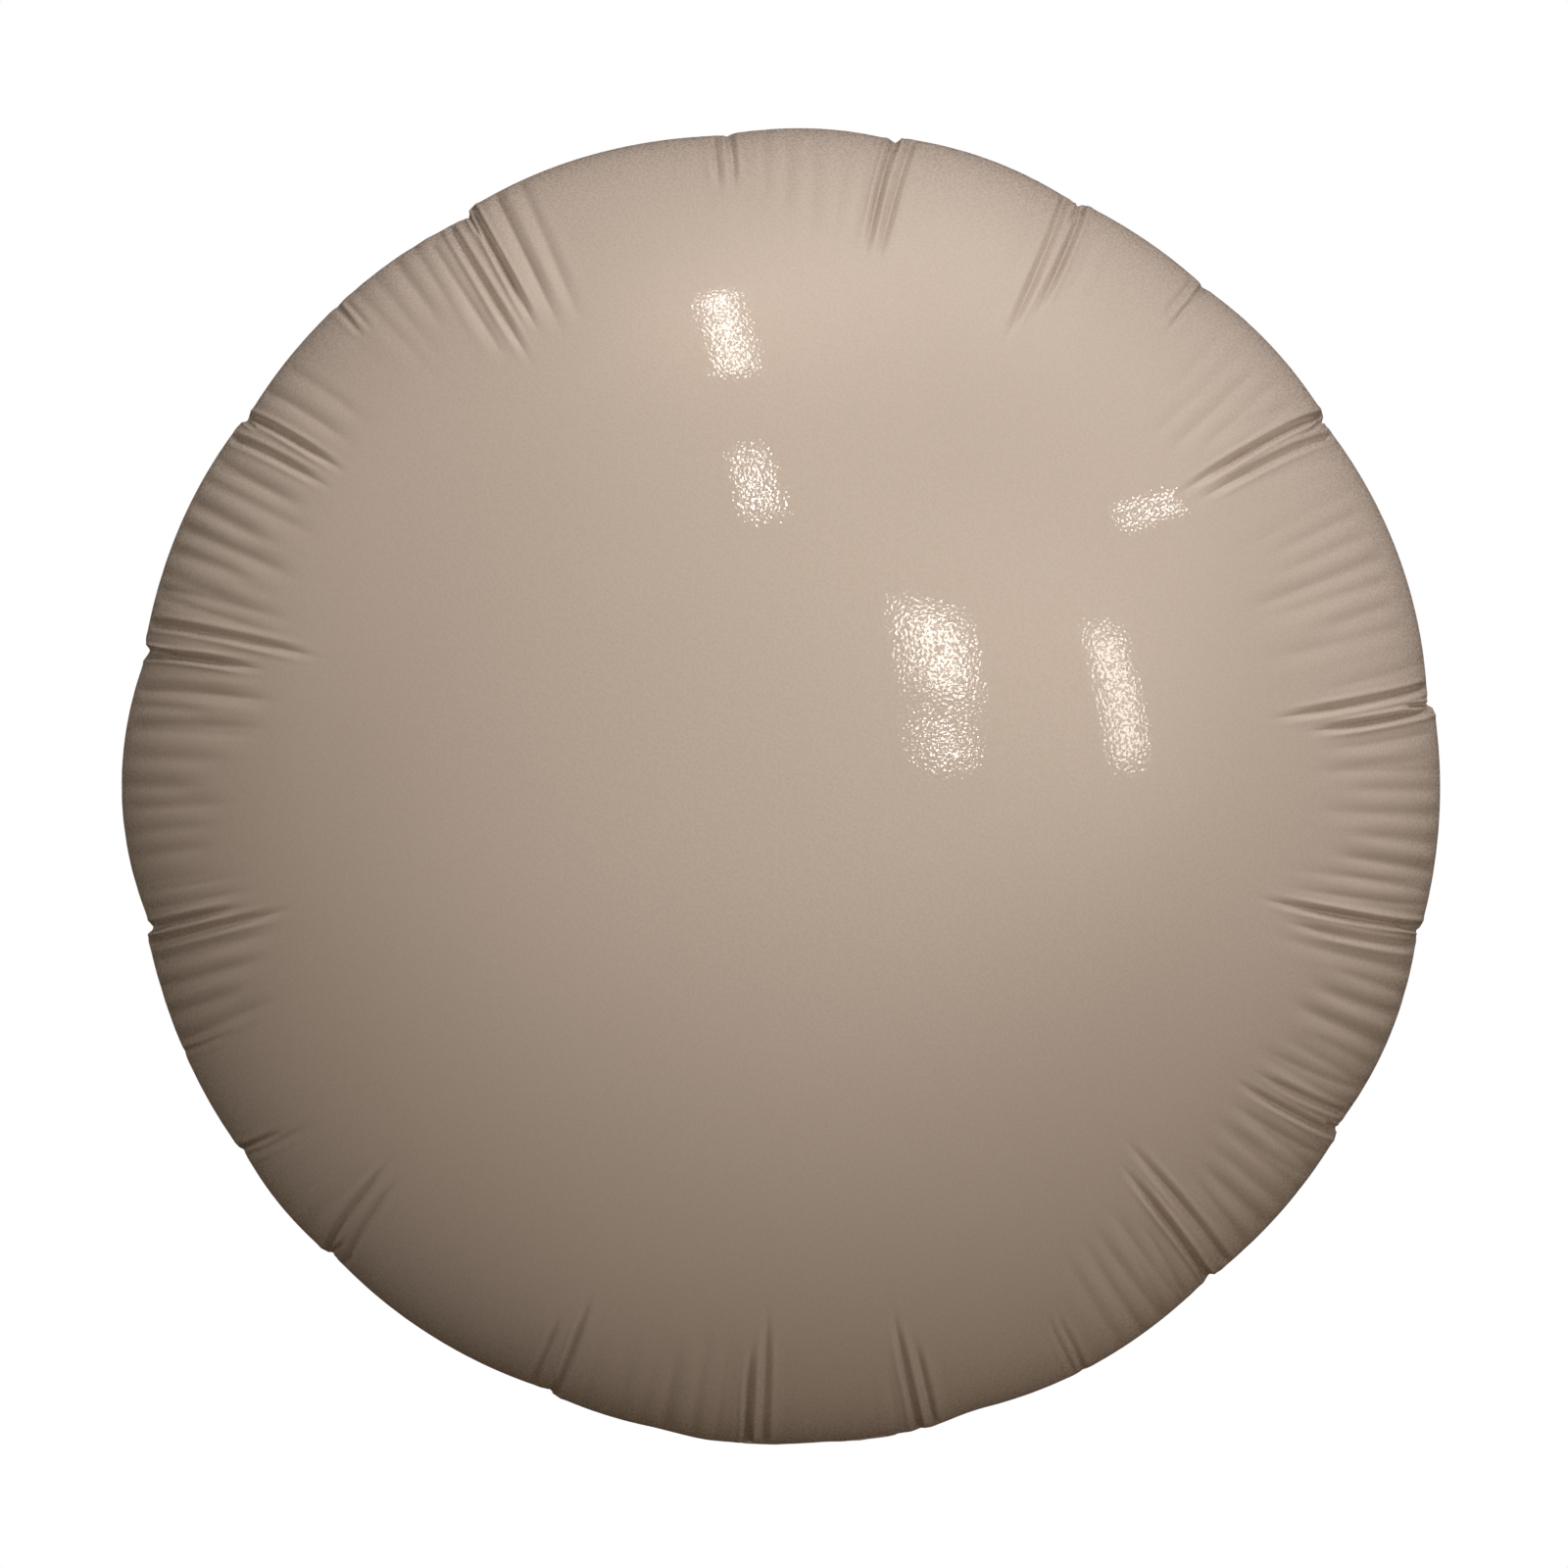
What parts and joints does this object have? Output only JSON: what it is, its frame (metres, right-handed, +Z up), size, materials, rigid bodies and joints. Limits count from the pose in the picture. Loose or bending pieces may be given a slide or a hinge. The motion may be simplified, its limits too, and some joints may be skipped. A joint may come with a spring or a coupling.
{
  "type": "round foil balloon",
  "caption": "Inflated round foil balloon: two domed film panels sealed at a puckered rim, with a fold-back filling tail and a flat self-sealing valve.",
  "frame": {"origin": "centre of the circular seam between the two film panels, which is the centre of the balloon", "axes": "+Z is up; the front panel faces -Y and the back panel +Y; the filling tail's root is straight below the origin, at -Z"},
  "size_m": [0.3504, 0.2046, 0.3516],
  "materials": {
    "outer_film": "satin-gloss metallised film, warm taupe",
    "valve_film": "thin milky translucent film"
  },
  "bodies": {
    "shell": {"front_panel": "outer_film", "back_panel": "outer_film", "valve_inner_front": "valve_film", "valve_inner_back": "valve_film"},
    "tail": {"tail_front_ply": "outer_film", "tail_back_ply": "outer_film", "valve_mouth_front": "valve_film", "valve_mouth_back": "valve_film"}
  },
  "joints": [
    {"name": "tail_fold", "type": "hinge", "parent": "shell", "child": "tail", "pos_m": [0, 0, -0.17599], "axis": [1, 0, 0], "range_deg": [-90, 0]}
  ]
}
